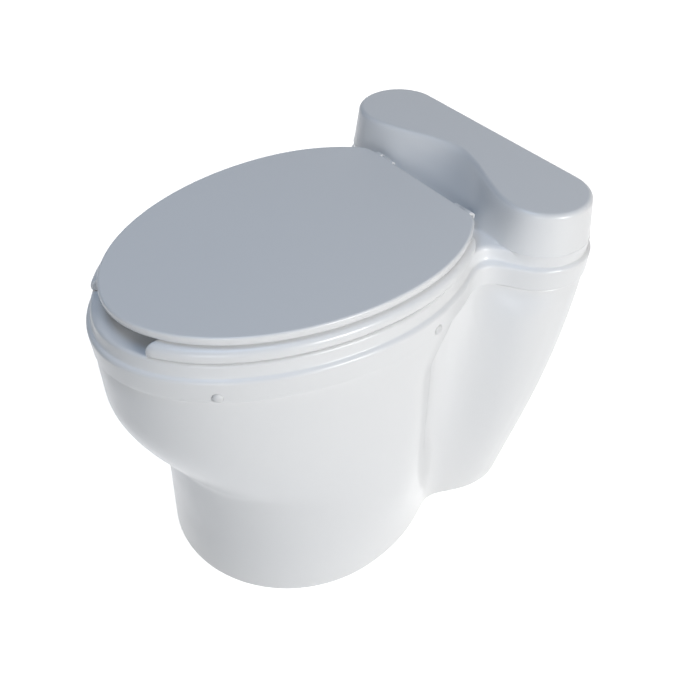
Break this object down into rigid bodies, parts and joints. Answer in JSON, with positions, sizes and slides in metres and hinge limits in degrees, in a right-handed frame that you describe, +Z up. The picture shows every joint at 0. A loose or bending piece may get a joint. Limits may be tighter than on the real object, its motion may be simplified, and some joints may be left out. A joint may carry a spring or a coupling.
{
  "type": "composting toilet",
  "caption": "Urine-diverting composting toilet with hinged seat and lid, a lift-off top with rear console, a turning container, a drain pipe and a vent fan.",
  "frame": {"origin": "centre of the part's bounding box, on the floor", "axes": "+Z up, +Y from the user's knees towards the rear console, +X towards the right in a view from the front, which is the user's left when seated"},
  "size_m": [0.458, 0.667, 0.543],
  "materials": {
    "housing_white": "white moulded plastic, soft gloss",
    "cap_white": "white moulded plastic, satin",
    "grey_plastic": "grey moulded plastic, satin",
    "black_plastic": "black moulded plastic",
    "black_rubber": "matt black rubber",
    "pale_rubber": "matt pale rubber",
    "steel": "zinc-plated steel"
  },
  "bodies": {
    "base": {"tub": "housing_white", "rim_seal": "black_rubber", "turntable_spindle": "steel", "turntable_glide_1": "pale_rubber", "turntable_glide_2": "pale_rubber", "turntable_glide_3": "pale_rubber", "turntable_glide_4": "pale_rubber", "urine_pipe": "grey_plastic", "pipe_cup": "grey_plastic", "pipe_clip_1": "grey_plastic", "pipe_clip_2": "grey_plastic", "outlet_grommet": "black_rubber", "vent_socket": "grey_plastic", "fan_frame": "black_plastic", "fan_screw_1": "steel", "fan_screw_2": "steel", "fan_screw_3": "steel", "fan_screw_4": "steel", "power_inlet": "black_plastic"},
    "fan": {"fan_impeller": "black_plastic"},
    "turntable": {"turntable": "grey_plastic", "container": "grey_plastic"},
    "top": {"top_shell": "housing_white", "screw_front_left": "cap_white", "screw_front_right": "cap_white", "screw_rear_left": "cap_white", "screw_rear_right": "cap_white", "bowl_insert": "housing_white", "bowl_screw_1": "steel", "bowl_screw_2": "steel", "bowl_screw_3": "steel", "bowl_screw_4": "steel", "hinge_post_left": "cap_white", "hinge_post_right": "cap_white", "hinge_pin_left": "steel", "hinge_pin_right": "steel", "hinge_bolt_left": "steel", "hinge_bolt_right": "steel", "hinge_washer_left": "steel", "hinge_washer_right": "steel"},
    "seat": {"seat": "housing_white", "seat_buffer_1": "pale_rubber", "seat_buffer_2": "pale_rubber", "seat_buffer_3": "pale_rubber", "seat_buffer_4": "pale_rubber"},
    "lid": {"lid": "housing_white", "lid_buffer_1": "pale_rubber", "lid_buffer_2": "pale_rubber", "lid_buffer_3": "pale_rubber", "lid_buffer_4": "pale_rubber"}
  },
  "joints": [
    {"name": "top_lift", "type": "slide", "parent": "base", "child": "top", "axis": [0, 0, 1], "range_m": [0, 0.3]},
    {"name": "seat_hinge", "type": "hinge", "parent": "top", "child": "seat", "pos_m": [0, 0.176, 0.5045], "axis": [1, 0, 0], "range_deg": [-95, 0]},
    {"name": "lid_hinge", "type": "hinge", "parent": "seat", "child": "lid", "pos_m": [0, 0.176, 0.5045], "axis": [-1, 0, 0], "range_deg": [0, 95]},
    {"name": "turntable_spin", "type": "hinge", "parent": "base", "child": "turntable", "pos_m": [0, 0.0065, 0.0151], "axis": [0, 0, 1], "continuous": true},
    {"name": "fan_spin", "type": "hinge", "parent": "base", "child": "fan", "pos_m": [0, 0.283, 0.386], "axis": [0, 1, 0], "continuous": true}
  ]
}
